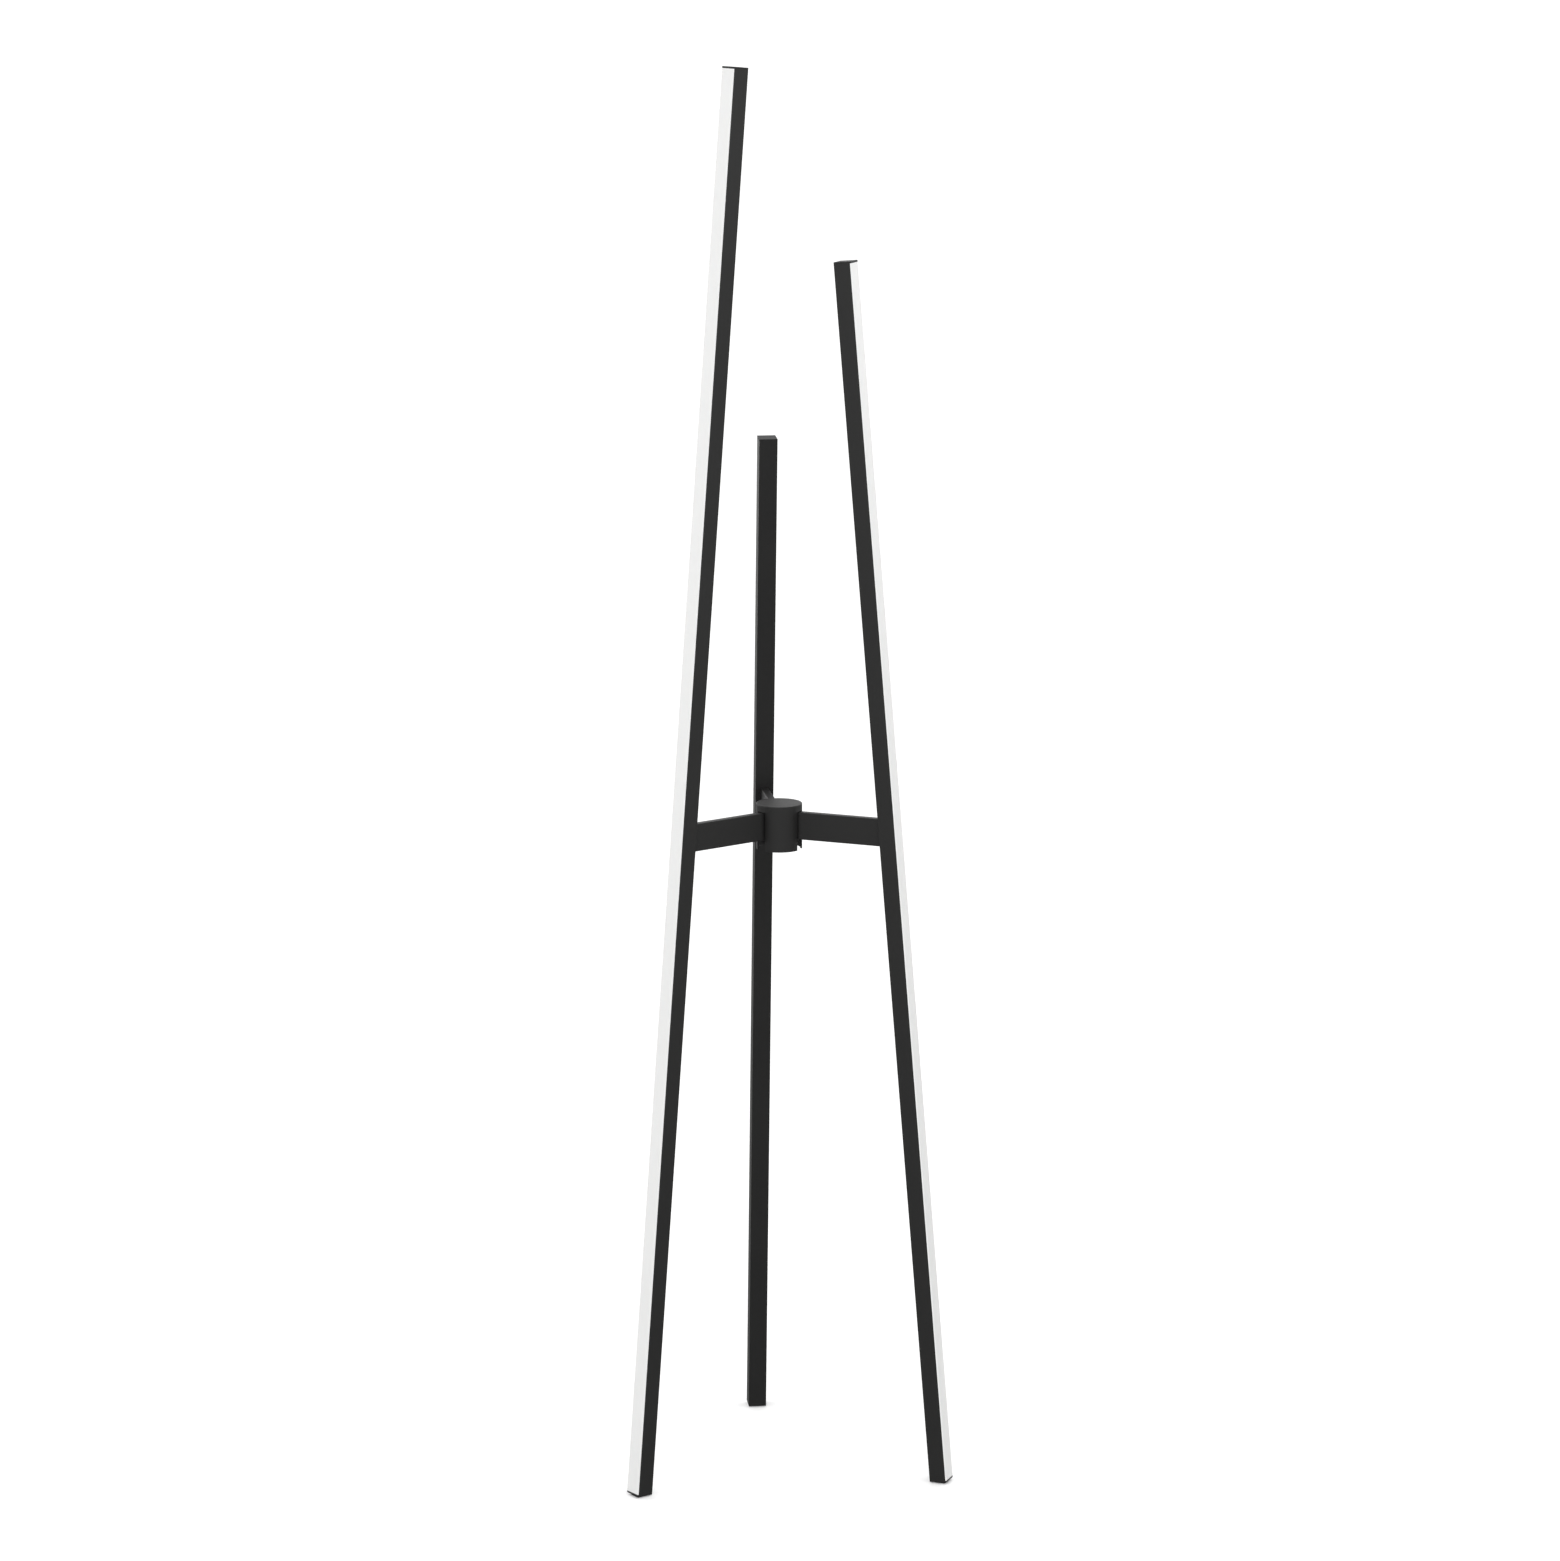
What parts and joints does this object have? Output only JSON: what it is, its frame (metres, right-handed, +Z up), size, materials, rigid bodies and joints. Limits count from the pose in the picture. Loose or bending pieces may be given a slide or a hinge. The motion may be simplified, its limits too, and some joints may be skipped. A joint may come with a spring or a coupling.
{
  "type": "floor lamp",
  "caption": "Slim tripod floor lamp: leaning light-bar legs of unequal height, tied by flat level arms to a small round hub with a lift-off cover.",
  "frame": {"origin": "on the floor, at the middle of the lamp's outline seen from above", "axes": "+Z up; the long leg stands towards -X -Y, the middle leg towards +X -Y and the short leg towards +Y, a third of a turn apart about the hub"},
  "size_m": [0.3596, 0.3114, 1.5369],
  "materials": {
    "black_metal": "fine satin black powder coat",
    "black_cap": "satin black, finely textured",
    "opal_diffuser": "opal, smooth satin",
    "strip_board": "white solder mask, satin",
    "led_package": "yellow phosphor, glossy",
    "pad_rubber": "matt moulded rubber",
    "bare_aluminium": "die cast, bead blasted",
    "wire_jacket": "soft satin jacket",
    "screw_steel": "zinc plated",
    "circuit_board": "green solder mask, glossy",
    "gland_rubber": "matt moulded rubber"
  },
  "bodies": {
    "stand": {"channel_long": "black_metal", "channel_middle": "black_metal", "channel_short": "black_metal", "diffuser_long": "opal_diffuser", "diffuser_middle": "opal_diffuser", "diffuser_short": "opal_diffuser", "led_strip_long": "strip_board", "led_strip_middle": "strip_board", "led_strip_short": "strip_board", "leds_long": "led_package", "leds_middle": "led_package", "leds_short": "led_package", "top_cap_long": "black_cap", "top_cap_middle": "black_cap", "top_cap_short": "black_cap", "base_cap_long": "black_cap", "base_cap_middle": "black_cap", "base_cap_short": "black_cap", "foot_pad_long": "pad_rubber", "foot_pad_middle": "pad_rubber", "foot_pad_short": "pad_rubber", "arm_long": "black_metal", "arm_middle": "black_metal", "arm_short": "black_metal", "arm_insert_long": "bare_aluminium", "arm_insert_middle": "bare_aluminium", "arm_insert_short": "bare_aluminium", "lead_long": "wire_jacket", "lead_middle": "wire_jacket", "lead_short": "wire_jacket", "leg_screws": "screw_steel", "grub_screws": "screw_steel", "hub_core": "bare_aluminium", "junction_board": "circuit_board", "board_screws": "screw_steel", "cord_gland": "gland_rubber"},
    "cover": {"hub_cover": "black_metal"}
  },
  "joints": [
    {"name": "cover_lift", "type": "slide", "parent": "stand", "child": "cover", "axis": [0, 0, 1], "range_m": [0, 0.06]}
  ]
}
